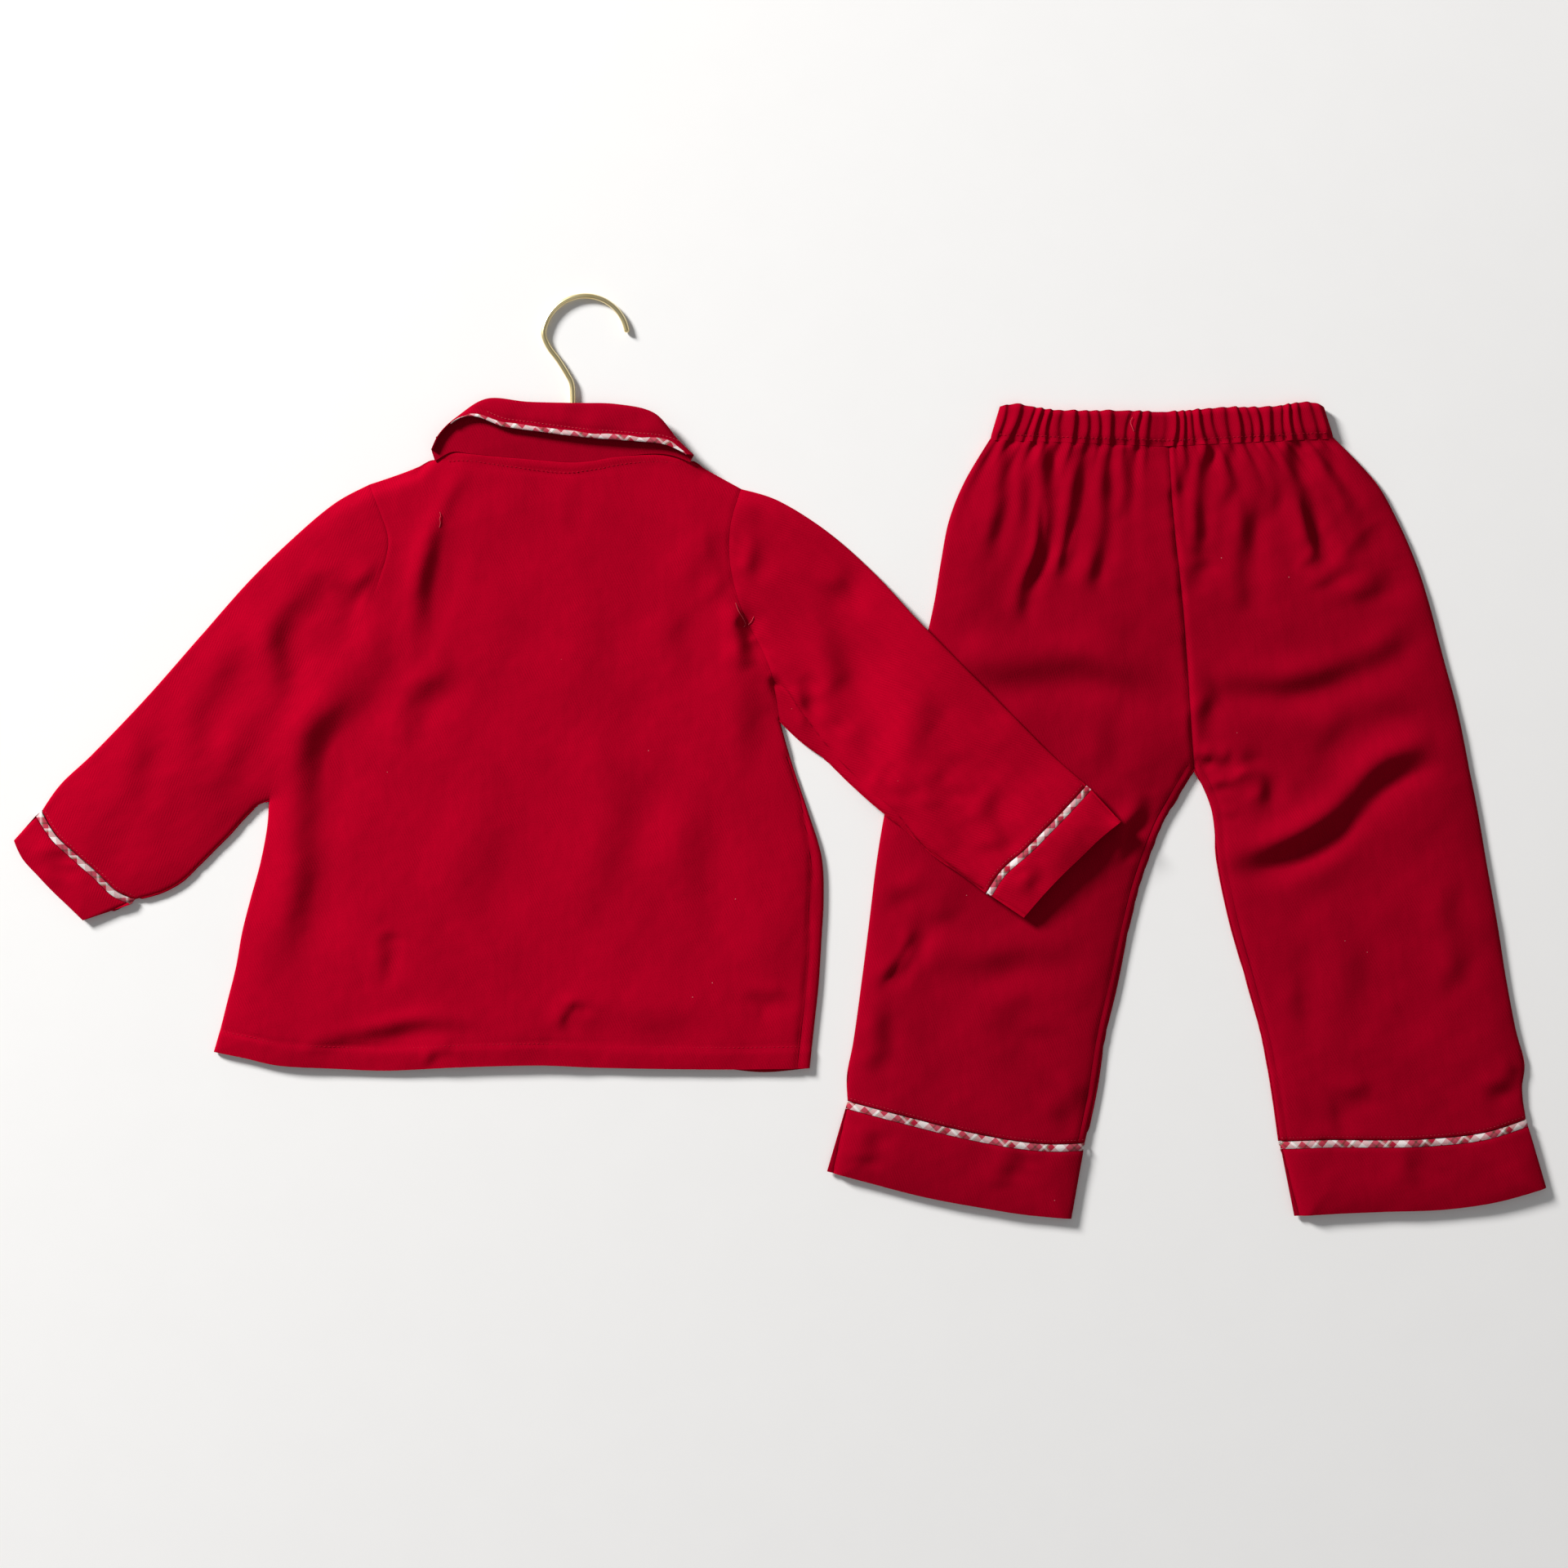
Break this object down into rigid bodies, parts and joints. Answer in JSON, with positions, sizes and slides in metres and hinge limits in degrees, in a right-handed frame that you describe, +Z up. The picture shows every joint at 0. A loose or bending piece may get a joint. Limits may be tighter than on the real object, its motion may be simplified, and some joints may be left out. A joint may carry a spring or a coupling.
{
  "type": "toddler pyjama set with clothes hanger",
  "caption": "Toddler's collared long-sleeved pyjama top on a wire hanger and elastic-waist trousers, laid flat back side up, with check piping at collar and cuffs.",
  "frame": {"origin": "on the surface it lies on, below the middle of the whole set's outline", "axes": "+Z up off the surface, out of the backs of both garments; +Y towards the collar and the waistband; +X from the top to the trousers"},
  "size_m": [0.9372, 0.566, 0.0134],
  "materials": {
    "red_twill": "brushed cotton twill, matt with a short soft nap",
    "check_piping": "bias-cut woven check in white, rose, brown and grey-green",
    "gold_wire": "polished pale gold plated wire"
  },
  "bodies": {
    "root": {"top_back": "red_twill", "top_front_left": "red_twill", "top_front_right": "red_twill", "sleeve_left": "red_twill", "sleeve_piping_left": "check_piping", "sleeve_cuff_left": "red_twill", "sleeve_right": "red_twill", "sleeve_piping_right": "check_piping", "sleeve_cuff_right": "red_twill", "collar": "red_twill", "collar_piping": "check_piping", "collar_leaf_left": "red_twill", "collar_leaf_right": "red_twill", "hanger_hook": "gold_wire", "hanger_arms": "gold_wire", "trouser_leg_left": "red_twill", "leg_piping_left": "check_piping", "leg_cuff_left": "red_twill", "trouser_leg_right": "red_twill", "leg_piping_right": "check_piping", "leg_cuff_right": "red_twill", "waistband": "red_twill"}
  },
  "joints": []
}
